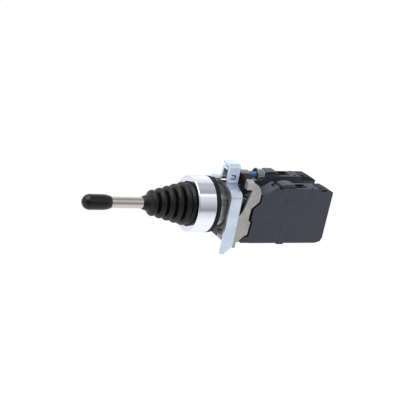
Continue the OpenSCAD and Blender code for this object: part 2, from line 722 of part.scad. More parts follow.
// Two fixed contacts: a tab under the bridge, and a strip to the terminal on its side
module contacts(b) {
    py = plunger_mid(b);
    zc = contact_z(b);
    zt = terminal_z(b);
    x1 = block_out - case_wall - 0.05;
    color(brass) for (s = [-1, 1]) {
        tab = py + s * (plunger_d / 2 + 0.15);
        end = terminal_y(s) - s * (terminal_half - 0.1);
        box([column_x - 1.2, min(tab, tab + s * 0.8), zc - 0.6],
            [x1, max(tab, tab + s * 0.8), zc]);
        box([x1 - 0.6, min(tab, end), zc - 1.5], [x1, max(tab, end), zc]);
        box([x1 - 0.6, min(end, end - s), zt - 0.6], [x1, max(end, end - s), zc]);
        box([column_x - 1.5, min(end - s * 0.1, terminal_y(s) + s * 1.4), zt - 0.6],
            [x1, max(end - s * 0.1, terminal_y(s) + s * 1.4), zt]);
    }
}

// Two rising cages that grip the wires against the strips
module clamps(b) {
    zt = terminal_z(b);
    color(zinc) for (s = [-1, 1]) translate([column_x, terminal_y(s), zt]) difference() {
        box([-2.4, -1.7, -5], [2.4, 1.7, 0.7]);
        box([-1.8, -3, -3.2], [3, 3, 0.1]);
        translate([0, 0, -6]) cylinder(r = 1.05, h = 4, $fn = 32);
    }
}

module terminal_screws(b) {
    zt = terminal_z(b);
    color(nickel) for (s = [-1, 1]) translate([column_x, terminal_y(s), zt]) difference() {
        union() {
            translate([0, 0, -6.9]) cylinder(r = 1.75, h = 1.4, $fn = 32);
            translate([0, 0, -5.6]) cylinder(r = 1, h = 4.6, $fn = 32);
        }
        box([-2, -0.3, -8], [2, 0.3, -6.2]);
        box([-0.3, -2, -8], [0.3, 2, -6.2]);
    }
}

// ---------- assembly ----------

bezel_ring();
panel_seal();
head_barrel();
boot_retainer();
boot();
knob();
lever_shaft();
lever_hub();
hub_pin();
actuator_plate();
shaft_nut();
gimbal_ring();
gimbal_pins();
return_spring();
rod_guide();
guide_circlip();
push_rod_east();
push_rod_west();
push_rod_north();
push_rod_south();
fixing_collar();
lock_ring();
clamp_bracket();
clamp_screw();
screw_washer();
// The four contact blocks have the same eight pieces each
for (b = blocks) plunger_spring(b);
for (b = blocks) on_side(b) {
    casing(b);
    cover(b);
    plunger(b);
    bridge(b);
    contacts(b);
    clamps(b);
    terminal_screws(b);
}
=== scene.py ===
import json
import math

import bmesh
import bpy
from mathutils import Matrix, Vector


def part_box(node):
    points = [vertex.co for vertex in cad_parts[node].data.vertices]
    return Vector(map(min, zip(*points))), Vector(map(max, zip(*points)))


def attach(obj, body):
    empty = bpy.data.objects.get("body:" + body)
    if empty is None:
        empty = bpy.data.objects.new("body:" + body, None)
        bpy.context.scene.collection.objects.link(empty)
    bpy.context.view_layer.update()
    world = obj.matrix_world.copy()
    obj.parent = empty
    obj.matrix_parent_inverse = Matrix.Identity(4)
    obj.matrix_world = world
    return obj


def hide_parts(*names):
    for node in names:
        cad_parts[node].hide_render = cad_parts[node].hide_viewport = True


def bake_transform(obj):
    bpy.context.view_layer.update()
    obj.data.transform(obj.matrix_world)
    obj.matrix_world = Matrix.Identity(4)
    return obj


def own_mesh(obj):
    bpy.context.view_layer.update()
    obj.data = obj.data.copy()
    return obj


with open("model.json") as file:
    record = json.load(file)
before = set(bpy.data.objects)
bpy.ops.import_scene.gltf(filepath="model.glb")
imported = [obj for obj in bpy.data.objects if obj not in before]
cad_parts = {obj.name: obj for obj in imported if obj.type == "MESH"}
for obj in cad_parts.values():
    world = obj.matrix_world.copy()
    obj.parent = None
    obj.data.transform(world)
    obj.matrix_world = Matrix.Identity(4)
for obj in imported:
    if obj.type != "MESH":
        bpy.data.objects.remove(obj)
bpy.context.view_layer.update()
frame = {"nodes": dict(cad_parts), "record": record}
mm = 0.001
scene = bpy.context.scene
scene.view_settings.view_transform = "Standard"
slotOf = {part["node"]: part["material_slot"] for part in frame["record"]["subparts"]}
blocks = ("front_right", "front_left", "rear_right", "rear_left")
# Points of a new mesh that lie closer than this, in metres, are one
mergeGap = 1e-7
print("frame loaded:", len(frame["nodes"]), "nodes")


# Lowest and highest corner of a node, in millimetres
def boxOf(node):
    low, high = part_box(node)
    return low / mm, high / mm


# Finishes a mesh: normals outwards, smooth faces, and edges sharper than an angle kept sharp
def meshObject(name, bm, material, smoothAngle=30):
    bmesh.ops.recalc_face_normals(bm, faces=bm.faces)
    for face in bm.faces:
        face.smooth = True
    for edge in bm.edges:
        if len(edge.link_faces) == 2:
            edge.smooth = edge.calc_face_angle(0.0) < math.radians(smoothAngle)
    mesh = bpy.data.meshes.new(name)
    bm.to_mesh(mesh)
    bm.free()
    obj = bpy.data.objects.new(name, mesh)
    scene.collection.objects.link(obj)
    mesh.materials.append(material)
    return obj


# Spins a closed outline of (radius, z) points in millimetres round the lever's axis
def lathe(name, outline, material, steps, smoothAngle):
    bm = bmesh.new()
    verts = [bm.verts.new((r * mm, 0, z * mm)) for r, z in outline]
    edges = [bm.edges.new((verts[i - 1], verts[i])) for i in range(len(verts))]
    bmesh.ops.spin(bm, geom=verts + edges, cent=(0, 0, 0), axis=(0, 0, 1), dvec=(0, 0, 0),
                   angle=math.tau, space=Matrix.Identity(4), steps=steps, use_merge=True,
                   use_normal_flip=False, use_duplicate=False)
    bmesh.ops.remove_doubles(bm, verts=bm.verts, dist=mergeGap)
    loose = [edge for edge in bm.edges if not edge.link_faces]
    bmesh.ops.delete(bm, geom=loose, context="EDGES")
    return meshObject(name, bm, material, smoothAngle)


# Points on an arc about (x, y) from one angle to another, in degrees
def arc(x, y, radius, start, end, steps):
    turns = [math.radians(start + (end - start) * i / steps) for i in range(steps + 1)]
    return [(x + radius * math.cos(t), y + radius * math.sin(t)) for t in turns]


# Links a socket, or sets a plain value
def wire(tree, value, socket):
    if isinstance(value, bpy.types.NodeSocket):
        tree.links.new(value, socket)
    else:
        socket.default_value = value


def calc(tree, operation, a, b=0.0, clamp=False):
    node = tree.nodes.new("ShaderNodeMath")
    node.operation = operation
    node.use_clamp = clamp
    wire(tree, a, node.inputs[0])
    wire(tree, b, node.inputs[1])
    return node.outputs[0]


# A soft step from 0 to 1 as the value passes from low to high
def ramp(tree, value, low, high):
    node = tree.nodes.new("ShaderNodeMapRange")
    node.interpolation_type = "SMOOTHSTEP"
    wire(tree, value, node.inputs["Value"])
    wire(tree, low, node.inputs["From Min"])
    wire(tree, high, node.inputs["From Max"])
    return node.outputs[0]


def blendColour(tree, fac, a, b, mode="MIX"):
    node = tree.nodes.new("ShaderNodeMix")
    node.data_type = "RGBA"
    node.blend_type = mode
    wire(tree, fac, node.inputs[0])
    wire(tree, a, node.inputs[6])
    wire(tree, b, node.inputs[7])
    return node.outputs[2]


# The same value in all three channels
def grey(tree, value):
    node = tree.nodes.new("ShaderNodeCombineColor")
    for socket in node.inputs:
        wire(tree, value, socket)
    return node.outputs[0]


def noise(tree, vector, scale, detail, roughness, distortion=0.0):
    node = tree.nodes.new("ShaderNodeTexNoise")
    node.inputs["Detail"].default_value = detail
    node.inputs["Roughness"].default_value = roughness
    node.inputs["Distortion"].default_value = distortion
    wire(tree, vector, node.inputs["Vector"])
    wire(tree, scale, node.inputs["Scale"])
    return node.outputs["Fac"]


def bumped(tree, height, distance, normal):
    node = tree.nodes.new("ShaderNodeBump")
    wire(tree, height, node.inputs["Height"])
    wire(tree, distance, node.inputs["Distance"])
    wire(tree, normal, node.inputs["Normal"])
    return node.outputs[0]


def groupTree(name, inputs, outputs):
    tree = bpy.data.node_groups.new(name, "ShaderNodeTree")
    for socketName, kind in inputs.items():
        tree.interface.new_socket(name=socketName, in_out="INPUT", socket_type="NodeSocket" + kind)
    for socketName, kind in outputs.items():
        tree.interface.new_socket(name=socketName, in_out="OUTPUT", socket_type="NodeSocket" + kind)
    return tree, tree.nodes.new("NodeGroupInput").outputs, tree.nodes.new("NodeGroupOutput").inputs


# How the detail that all finishes share is drawn: noise as its detail, roughness and
# distortion, soft steps as their two ends, how far the painted shade in crevices reaches, in
# metres, and the samples that edges and crevices are found with
detailShape = {"grain": (5.0, 0.62, 0.0), "mottle": (4.0, 0.55, 0.4), "edgeStep": (0.02, 0.18),
               "wearStep": (0.3, 0.62), "patchStep": (0.36, 0.66), "roughStep": (0.3, 0.7),
               "creviceStep": (0.1, 0.8), "creviceReach": 2.2e-3, "edgeSamples": 4,
               "creviceSamples": 6}


# Grain, mottling, worn edges and rounded arrises of a moulded, cast or plated surface, and painted
# shade in its crevices
def makeSurfaceDetail():
    tree, given, out = groupTree(
        "surfaceDetail",
        {"Colour": "Color", "Mottled": "Color", "Worn": "Color", "Mottle Scale": "Float",
         "Mottle": "Float", "Grain Scale": "Float", "Grain": "Float", "Grain Depth": "Float",
         "Stretch": "Vector", "Edge Radius": "Float", "Wear": "Float", "Crevice Shade": "Float",
         "Rough Low": "Float", "Rough High": "Float"},
        {"Colour": "Color", "Roughness": "Float", "Normal": "Vector"})
    place = tree.nodes.new("ShaderNodeTexCoord").outputs["Object"]
    stretch = tree.nodes.new("ShaderNodeVectorMath")
    stretch.operation = "MULTIPLY"
    wire(tree, place, stretch.inputs[0])
    wire(tree, given["Stretch"], stretch.inputs[1])
    grain = noise(tree, stretch.outputs[0], given["Grain Scale"], *detailShape["grain"])
    mottle = noise(tree, place, given["Mottle Scale"], *detailShape["mottle"])
    # An edge is where the rounded normal leaves the true one
    bevel = tree.nodes.new("ShaderNodeBevel")
    bevel.samples = detailShape["edgeSamples"]
    wire(tree, given["Edge Radius"], bevel.inputs["Radius"])
    facing = tree.nodes.new("ShaderNodeVectorMath")
    facing.operation = "DOT_PRODUCT"
    wire(tree, bevel.outputs[0], facing.inputs[0])
    wire(tree, tree.nodes.new("ShaderNodeNewGeometry").outputs["Normal"], facing.inputs[1])
    turned = calc(tree, "SUBTRACT", 1.0, facing.outputs["Value"])
    edge = ramp(tree, turned, *detailShape["edgeStep"])
    wear = calc(tree, "MULTIPLY", edge, ramp(tree, mottle, *detailShape["wearStep"]))
    wear = calc(tree, "MULTIPLY", wear, given["Wear"], True)
    patches = ramp(tree, mottle, *detailShape["patchStep"])
    patches = calc(tree, "MULTIPLY", patches, given["Mottle"], True)
    base = blendColour(tree, patches, given["Colour"], given["Mottled"])
    speck = calc(tree, "MULTIPLY", calc(tree, "SUBTRACT", grain, 0.5), given["Grain"])
    specks = grey(tree, calc(tree, "ADD", 1.0, speck))
    grained = blendColour(tree, 1.0, base, specks, "MULTIPLY")
    # Painted shade: crevices are darker, as far as the surface around them closes them in
    openness = tree.nodes.new("ShaderNodeAmbientOcclusion")
    openness.samples = detailShape["creviceSamples"]
    openness.inputs["Distance"].default_value = detailShape["creviceReach"]
    opened = ramp(tree, openness.outputs["AO"], *detailShape["creviceStep"])
    closed = calc(tree, "MULTIPLY", calc(tree, "SUBTRACT", 1.0, opened), given["Crevice Shade"])
    paintedCreviceShade = grey(tree, calc(tree, "SUBTRACT", 1.0, closed))
    worn = blendColour(tree, wear, grained, given["Worn"])
    wire(tree, blendColour(tree, 1.0, worn, paintedCreviceShade, "MULTIPLY"), out["Colour"])
    spread = tree.nodes.new("ShaderNodeMapRange")
    mean = calc(tree, "MULTIPLY", calc(tree, "ADD", grain, mottle), 0.5)
    wire(tree, mean, spread.inputs["Value"])
    wire(tree, detailShape["roughStep"][0], spread.inputs["From Min"])
    wire(tree, detailShape["roughStep"][1], spread.inputs["From Max"])
    wire(tree, given["Rough Low"], spread.inputs["To Min"])
    wire(tree, given["Rough High"], spread.inputs["To Max"])
    wire(tree, spread.outputs[0], out["Roughness"])
    wire(tree, bumped(tree, grain, given["Grain Depth"], bevel.outputs[0]), out["Normal"])
    return tree


# Noise of the turned rings, and the trace of the angle that keeps them from being quite even
ringShape = {"detail": 3.0, "roughness": 0.7, "unevenness": 0.02}


# Fine rings that a lathe tool leaves, from the distance to an axis along Z
def makeTurnedRings():
    tree, given, out = groupTree(
        "turnedRings", {"Pitch": "Float", "Depth": "Float", "Normal": "Vector"},
        {"Rings": "Float", "Normal": "Vector"})
    split = tree.nodes.new("ShaderNodeSeparateXYZ")
    wire(tree, tree.nodes.new("ShaderNodeTexCoord").outputs["Object"], split.inputs[0])
    x, y, z = split.outputs
    radius = calc(tree, "SQRT", calc(tree, "ADD", calc(tree, "MULTIPLY", x, x),
                                     calc(tree, "MULTIPLY", y, y)))
    place = tree.nodes.new("ShaderNodeCombineXYZ")
    wire(tree, radius, place.inputs[0])
    wire(tree, z, place.inputs[1])
    wire(tree, calc(tree, "MULTIPLY", x, ringShape["unevenness"]), place.inputs[2])
    rings = noise(tree, place.outputs[0], calc(tree, "DIVIDE", 1.0, given["Pitch"]),
                  ringShape["detail"], ringShape["roughness"])
    wire(tree, rings, out["Rings"])
    wire(tree, bumped(tree, rings, given["Depth"], given["Normal"]), out["Normal"])
    return tree


# 1 inside a box in the object's own coordinates, with a soft border
def makeBoxMask():
    tree, given, out = groupTree("boxMask", {"Low": "Vector", "High": "Vector", "Soft": "Float"},
                                 {"Inside": "Float"})
    place, low, high = [tree.nodes.new("ShaderNodeSeparateXYZ") for _ in range(3)]
    wire(tree, tree.nodes.new("ShaderNodeTexCoord").outputs["Object"], place.inputs[0])
    wire(tree, given["Low"], low.inputs[0])
    wire(tree, given["High"], high.inputs[0])
    inside = 1.0
    for axis in range(3):
        at, soft = place.outputs[axis], given["Soft"]
        above = ramp(tree, at, calc(tree, "SUBTRACT", low.outputs[axis], soft), low.outputs[axis])
        beyond = ramp(tree, at, high.outputs[axis], calc(tree, "ADD", high.outputs[axis], soft))
        inside = calc(tree, "MULTIPLY", inside, calc(tree, "SUBTRACT", above, beyond, True))
    wire(tree, inside, out["Inside"])
    return tree


surfaceDetail = makeSurfaceDetail()
turnedRings = makeTurnedRings()
boxMask = makeBoxMask()

# Each finish: its colours, its range of roughness, the grain's scale, strength and depth, the
# mottling's scale and strength, the edge's radius and wear, the rings' pitch and depth, and how
# strong the painted shade in its crevices is. Lengths are in metres and scales in turns to the
# metre
finishes = {
    "rubber_black": {
        "colour": (0.004, 0.004, 0.0047), "mottled": (0.008, 0.008, 0.009),
        "worn": (0.024, 0.024, 0.026),
        "rough": (0.34, 0.5), "grain": (5200, 0.25, 4.5e-6), "mottle": (260, 0.6),
        "edge": (0.00012, 0.3), "specular": 0.28},
    "knob_black": {
        "colour": (0.004, 0.004, 0.005), "mottled": (0.007, 0.007, 0.008),
        "worn": (0.025, 0.025, 0.027),
        "rough": (0.22, 0.32), "grain": (6000, 0.2, 3e-6), "mottle": (240, 0.5),
        "edge": (0.0001, 0.3), "specular": 0.32},
    "seal_black": {
        "colour": (0.008, 0.008, 0.009), "mottled": (0.014, 0.014, 0.015),
        "worn": (0.035, 0.035, 0.037),
        "rough": (0.55, 0.72), "grain": (4200, 0.3, 6e-6), "mottle": (300, 0.6),
        "edge": (0.00015, 0.4), "specular": 0.16},
    "bezel_chrome": {
        "colour": (0.83, 0.84, 0.93), "mottled": (0.79, 0.8, 0.89), "worn": (0.9, 0.91, 0.96),
        "rough": (0.06, 0.1), "grain": (3000, 0.03, 4e-7), "mottle": (120, 0.4),
        "edge": (0.00005, 0.1), "metallic": 1.0, "rings": (0.00016, 6e-7), "creviceShade": 0.0},
    "shaft_nickel": {
        "colour": (0.57, 0.518, 0.503), "mottled": (0.495, 0.447, 0.433),
        "worn": (0.71, 0.67, 0.65),
        "rough": (0.11, 0.18), "grain": (2600, 0.1, 1e-6), "mottle": (150, 0.5),
        "edge": (0.00015, 0.4), "metallic": 1.0, "rings": (0.0002, 1.5e-6)},
    "cast_zinc": {
        "colour": (0.47, 0.46, 0.445), "mottled": (0.38, 0.37, 0.36), "worn": (0.64, 0.63, 0.61),
        "rough": (0.38, 0.56), "grain": (2400, 0.35, 1.4e-5), "mottle": (190, 0.7),
        "edge": (0.00025, 0.7), "metallic": 0.85},
    "barrel_dark": {
        "colour": (0.48, 0.48, 0.5), "mottled": (0.37, 0.37, 0.39), "worn": (0.62, 0.62, 0.64),
        "rough": (0.32, 0.46), "grain": (2400, 0.2, 6e-6), "mottle": (200, 0.6),
        "edge": (0.0002, 0.6), "metallic": 0.8, "rings": (0.0003, 2e-6)},
    "sheet_zinc": {
        "colour": (0.74, 0.83, 0.94), "mottled": (0.64, 0.72, 0.84), "worn": (0.86, 0.92, 0.97),
        "rough": (0.24, 0.4), "grain": (1500, 0.16, 3e-6), "mottle": (230, 0.8),
        "edge": (0.00022, 0.6), "metallic": 0.95, "stretch": (1.0, 0.25, 1.0)},
    "screw_steel": {
        "colour": (0.3, 0.3, 0.32), "mottled": (0.16, 0.16, 0.17), "worn": (0.7, 0.7, 0.73),
        "rough": (0.14, 0.26), "grain": (2600, 0.25, 4e-6), "mottle": (420, 0.9),
        "edge": (0.00018, 0.9), "metallic": 0.95},
    "case_slate": {
        "colour": (0.036, 0.039, 0.058), "mottled": (0.029, 0.032, 0.048),
        "worn": (0.1, 0.105, 0.135),
        "rough": (0.4, 0.56), "grain": (3600, 0.3, 1e-5), "mottle": (210, 0.6),
        "edge": (0.00022, 0.5), "specular": 0.42},
    "inner_plastic": {
        "colour": (0.03, 0.03, 0.032), "mottled": (0.022, 0.022, 0.024),
        "worn": (0.07, 0.07, 0.075),
        "rough": (0.4, 0.55), "grain": (3000, 0.12, 4e-6), "mottle": (240, 0.5),
        "edge": (0.00015, 0.3)},
    "hub_plastic": {
        "colour": (0.03, 0.03, 0.034), "mottled": (0.045, 0.045, 0.05),
        "worn": (0.09, 0.09, 0.095),
        "rough": (0.42, 0.6), "grain": (3200, 0.3, 8e-6), "mottle": (260, 0.6),
        "edge": (0.0002, 0.4)},
    "spring_steel": {
        "colour": (0.42, 0.42, 0.43), "mottled": (0.34, 0.34, 0.35), "worn": (0.55, 0.55, 0.56),
        "rough": (0.28, 0.4), "grain": (2600, 0.2, 2e-6), "mottle": (400, 0.6),
        "edge": (0.00005, 0.2), "metallic": 1.0},
    "contact_brass": {
        "colour": (0.62, 0.44, 0.18), "mottled": (0.5, 0.34, 0.13), "worn": (0.75, 0.58, 0.3),
        "rough": (0.25, 0.4), "grain": (2600, 0.15, 2e-6), "mottle": (300, 0.6),
        "edge": (0.0001, 0.4), "metallic": 1.0},
    "bridge_silver": {
        "colour": (0.66, 0.65, 0.62), "mottled": (0.56, 0.55, 0.52), "worn": (0.78, 0.77, 0.75),
        "rough": (0.25, 0.4), "grain": (2600, 0.15, 2e-6), "mottle": (300, 0.6),
        "edge": (0.0001, 0.4), "metallic": 1.0},
}


# What a finish has when it says nothing else
plainFinish = {"stretch": (1.0, 1.0, 1.0), "creviceShade": 0.85, "metallic": 0.0, "specular": 0.5}

# Places of a finish with painted shade, where shade falls in recesses, creases and under other
# pieces, as boxes in millimetres with a soft border, and the tint that darkens the finish there
paintedShades = {
    "cast_zinc": [
        # Painted shade on the flanks and top of the collar's screw lug
        {"from": (-9.0, 12.8, -18.0), "to": (9.5, 19.0, -11.6), "border": 0.6,
         "tint": (0.1, 0.095, 0.09)},
        {"from": (-9.0, 19.4, -18.0), "to": (9.5, 22.0, -11.6), "border": 0.4,
         "tint": (0.6, 0.59, 0.58)},
        # Painted shade on the locking ring, and darker painted shade in the pocket of its finger
        # lever
        {"from": (-17.0, -18.0, -7.6), "to": (17.0, 17.0, -5.0), "border": 0.1,
         "tint": (0.48, 0.48, 0.5)},
        {"from": (-3.5, -15.9, -6.9), "to": (1.5, -13.1, -5.0), "border": 0.1,
         "tint": (0.05, 0.05, 0.05)}],
    "sheet_zinc": [
        # Painted shade in the clamp's bend towards the screw, and a little on the near wall of its
        # box
        {"from": (6.2, 12.6, -11.0), "to": (14.0, 14.4, -4.0), "border": 0.5,
         "tint": (0.58, 0.6, 0.72)},
        {"from": (6.2, 15.4, -11.0), "to": (8.2, 22.4, -4.0), "border": 0.4,
         "tint": (0.96, 0.97, 0.99)}],
    "barrel_dark": [
        # Painted shade on the barrel under the clamp's box
        {"from": (-14.0, 9.0, -9.0), "to": (14.0, 14.0, 3.0), "border": 2.0,
         "tint": (0.3, 0.3, 0.31)}],
    "case_slate": [
        # Painted shade in the recesses and on the rear ends of the rear blocks' tops
        {"from": (6.2, 12.4, -50.8), "to": (12.6, 14.2, -43.2), "border": 0.15,
         "tint": (0.08, 0.08, 0.08)},
        {"from": (-12.6, 12.4, -50.8), "to": (-6.2, 14.2, -43.2), "border": 0.15,
         "tint": (0.08, 0.08, 0.08)},
        {"from": (-14.0, 12.6, -66.0), "to": (12.9, 16.0, -56.5), "border": 0.4,
         "tint": (0.2, 0.2, 0.22)}],
}
# Places with painted shade are at least this rough, so that nothing shines in them
paintedShadeRoughness = 0.7


# Darkens a finish with painted shade inside one box, and makes it rougher there
def addPaintedShade(tree, shade, colour, roughness):
    mask = tree.nodes.new("ShaderNodeGroup")
    mask.node_tree = boxMask
    mask.inputs["Low"].default_value = Vector(shade["from"]) * mm
    mask.inputs["High"].default_value = Vector(shade["to"]) * mm
    mask.inputs["Soft"].default_value = shade["border"] * mm
    inside = mask.outputs["Inside"]
    shadedColour = blendColour(tree, 1.0, colour, shade["tint"] + (1.0,), "MULTIPLY")
    dull = calc(tree, "MULTIPLY", inside, paintedShadeRoughness)
    return blendColour(tree, inside, colour, shadedColour), calc(tree, "MAXIMUM", roughness, dull)


def makeFinish(name, slot):
    values = {**plainFinish, **finishes[slot]}
    material = bpy.data.materials.new("finish_" + name)
    material.use_nodes = True
    tree = material.node_tree
    shader = tree.nodes["Principled BSDF"]
    detail = tree.nodes.new("ShaderNodeGroup")
    detail.node_tree = surfaceDetail
    inputs = {"Colour": values["colour"] + (1.0,), "Mottled": values["mottled"] + (1.0,),
              "Worn": values["worn"] + (1.0,), "Stretch": values["stretch"],
              "Crevice Shade": values["creviceShade"]}
    inputs["Mottle Scale"], inputs["Mottle"] = values["mottle"]
    inputs["Grain Scale"], inputs["Grain"], inputs["Grain Depth"] = values["grain"]
    inputs["Edge Radius"], inputs["Wear"] = values["edge"]
    inputs["Rough Low"], inputs["Rough High"] = values["rough"]
    for key, value in inputs.items():
        detail.inputs[key].default_value = value
    colour, roughness = detail.outputs["Colour"], detail.outputs["Roughness"]
    # Painted shade in the places listed for this finish
    for shade in paintedShades.get(name, ()):
        colour, roughness = addPaintedShade(tree, shade, colour, roughness)
    normal = detail.outputs["Normal"]
    if "rings" in values:
        turned = tree.nodes.new("ShaderNodeGroup")
        turned.node_tree = turnedRings
        turned.inputs["Pitch"].default_value, turned.inputs["Depth"].default_value = values["rings"]
        wire(tree, normal, turned.inputs["Normal"])
        normal = turned.outputs["Normal"]
    wire(tree, colour, shader.inputs["Base Color"])
    wire(tree, roughness, shader.inputs["Roughness"])
    wire(tree, normal, shader.inputs["Normal"])
    shader.inputs["Metallic"].default_value = values["metallic"]
    shader.inputs["Specular IOR Level"].default_value = values["specular"]
    return material


# The clamp screw's thread, and the blue locking paint on its part behind the lug, in metres
screw = {"pitch": 0.6 * mm, "threadDepth": 9e-5, "threadEnd": -21.9 * mm,
         "paint": (0.05, 0.13, 0.36, 1.0), "paintFrom": -22.3 * mm, "paintTo": -16.9 * mm,
         "paintBorder": 2e-4, "ragged": 4e-4, "raggedNoise": (900.0, 2.0, 0.5)}


def makeScrewFinish():
    material = makeFinish("clamp_screw", "screw_steel")
    tree = material.node_tree
    shader = tree.nodes["Principled BSDF"]
    steel = shader.inputs["Base Color"].links[0].from_socket
    smooth = shader.inputs["Normal"].links[0].from_socket
    place = tree.nodes.new("ShaderNodeTexCoord").outputs["Object"]
    split = tree.nodes.new("ShaderNodeSeparateXYZ")
    wire(tree, place, split.inputs[0])
    height = split.outputs[2]
    uneven = calc(tree, "MULTIPLY", noise(tree, place, *screw["raggedNoise"]), screw["ragged"])
    ragged = calc(tree, "ADD", height, uneven)
    above = ramp(tree, ragged, screw["paintFrom"], screw["paintFrom"] + screw["paintBorder"])
    painted = calc(tree, "MULTIPLY", above, calc(tree, "LESS_THAN", ragged, screw["paintTo"]))
    wire(tree, blendColour(tree, painted, steel, screw["paint"]), shader.inputs["Base Color"])
    bare = calc(tree, "SUBTRACT", finishes["screw_steel"]["metallic"], painted, True)
    wire(tree, bare, shader.inputs["Metallic"])
    wave = calc(tree, "SINE", calc(tree, "MULTIPLY", height, math.tau / screw["pitch"]))
    threaded = calc(tree, "MULTIPLY", wave,
                    calc(tree, "GREATER_THAN", height, screw["threadEnd"]))
    wire(tree, bumped(tree, threaded, screw["threadDepth"], smooth), shader.inputs["Normal"])
    return material


materials = {slot: makeFinish(slot, slot) for slot in finishes}
screwMaterial = makeScrewFinish()
print("materials made:", len(bpy.data.materials))

# Width of the rounded edges, in millimetres, on the pieces that show
edgeWidths = {"fixing_collar": 0.25, "lock_ring": 0.15, "clamp_bracket": 0.2, "clamp_screw": 0.12,
              "screw_washer": 0.1, "panel_seal": 0.25, "head_barrel": 0.12}
for block in blocks:
    edgeWidths[block + "_casing"] = 0.2
    edgeWidths[block + "_cover"] = 0.15
# Angles, in degrees, up to which faces count as one and from which an edge is rounded, the
# distance in metres below which points are one, and the segments across a rounded edge
rounding = {"flat": 0.6, "sharp": 28, "weld": 1e-6, "segments": 2}


def roundEdges(obj, width):
    weld = obj.modifiers.new("weld", "WELD")
    weld.merge_threshold = rounding["weld"]
    planar = obj.modifiers.new("planar", "DECIMATE")
    planar.decimate_type = "DISSOLVE"
    planar.angle_limit = math.radians(rounding["flat"])
    bevel = obj.modifiers.new("bevel", "BEVEL")
    bevel.width = width * mm
    bevel.segments = rounding["segments"]
    bevel.limit_method = "ANGLE"
    bevel.angle_limit = math.radians(rounding["sharp"])
    weighted = obj.modifiers.new("weighted", "WEIGHTED_NORMAL")
    weighted.keep_sharp = True


for name, obj in frame["nodes"].items():
    material = screwMaterial if name == "clamp_screw" else materials[slotOf[name]]
    if not obj.material_slots:
        obj.data.materials.append(material)
    for materialSlot in obj.material_slots:
        materialSlot.material = material
    if name in edgeWidths:
        roundEdges(obj, edgeWidths[name])
print("CAD nodes dressed")

# The bezel, in millimetres: its wall, its lip round the boot, its rounded rim, and how far its
# face lies below the top of its CAD ring. The foot's points are set in and up, the mouth's in
# and down. Points beside the rounded places keep the shading of the straight ones flat
bezel = {"wall": 0.9, "lipReach": 3.1, "lip": 1.5, "rim": 0.55, "sink": 0.05, "beside": 0.12,
         "besideFace": 0.1, "footEdge": [(0.25, 0.0), (0.07, 0.07), (0.0, 0.25), (0.0, 0.32)],
         "mouthEdge": [(0.55, 0.0), (0.35, 0.03), (0.1, 0.09), (0.0, 0.3)],
         "rimSteps": 6, "steps": 192, "smoothAngle": 50}


def makeBezel():
    low, high = boxOf("bezel_ring")
    outer, inner, mouth = high.x, high.x - bezel["wall"], high.x - bezel["lipReach"]
    rim, top = bezel["rim"], high.z - bezel["sink"]
    outline = [(inner, low.z)]
    outline += [(outer - inward, low.z + up) for inward, up in bezel["footEdge"]]
    outline.append((outer, top - rim - bezel["beside"]))
    outline += arc(outer - rim, top - rim, rim, 0, 90, bezel["rimSteps"])
    outline.append((outer - rim - bezel["besideFace"], top))
    outline += [(mouth + inward, top - down) for inward, down in bezel["mouthEdge"]]
    outline += [(mouth, high.z - bezel["lip"]), (inner, high.z - bezel["lip"])]
    piece = lathe("bezelRing", outline, materials["bezel_chrome"], bezel["steps"],
                  bezel["smoothAngle"])
    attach(piece, "root")
    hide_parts("bezel_ring")


makeBezel()

# The boot, in millimetres: crests go down in height as their radius grows. The lip's points
# are a radius and a height above the neck, the foot's a radius and a height
boot = {"folds": 5, "firstRadius": 6.6, "radiusStep": 1.1, "heightStep": 4.15, "wall": 0.8,
        "crest": 1.55, "half": 1.6, "flatten": 0.6, "crestTurn": 80, "crestSteps": 10,
        "groove": 2.0, "grooveLean": 0.02, "grooveTop": 1.95, "grooveLow": 2.2,
        "lipHeight": 2.6, "neckHeight": 2.6, "steps": 144, "smoothAngle": 60,
        "lipOuter": [(3.2, 2.6), (3.3, 2.35), (3.45, 1.9), (3.75, 1.25), (3.88, 0.7),
                     (3.92, 0.25), (4.1, -0.15), (4.4, -0.42)],
        "lipInner": [(2.9, 2.6), (2.875, 2.5), (2.875, 0.0)],
        "footOuter": [(11.1, 12.3), (11.1, 11.0), (12.68, 10.95), (12.68, 9.46)],
        "footInner": [(10.0, 11.9), (10.0, 9.46)],
        "seam": 17.3, "seamOuter": 7.9, "seamInner": 7.0, "footTop": 12.6, "neckTop": 29.5}


# One side of the folds, from the top crest down, set in from the outer side
def foldSide(topHeight, inset):
    side = []
    for fold in range(boot["folds"]):
        radius = boot["firstRadius"] + boot["radiusStep"] * fold
        height = topHeight - boot["heightStep"] * fold
        for step in range(boot["crestSteps"] + 1):
            turn = math.radians(boot["crestTurn"] * (1 - 2 * step / boot["crestSteps"]))
            side.append((radius - boot["crest"] + (boot["crest"] - inset) * math.cos(turn),
                         height + (boot["half"] - inset * boot["flatten"]) * math.sin(turn)))
        groove = radius - boot["groove"] - inset
        if fold < boot["folds"] - 1:
            side += [(groove - boot["grooveLean"], height - boot["grooveTop"]),
                     (groove, height - boot["grooveLow"])]
    return side


# Upper and lower parts of one side, which meet at the seam in the groove
def splitSide(side, seamRadius):
    seam = (seamRadius, boot["seam"])
    upper = [point for point in side if point[1] > boot["seam"]]
    lower = [point for point in side if point[1] <= boot["seam"]]
    return upper + [seam], [seam] + lower


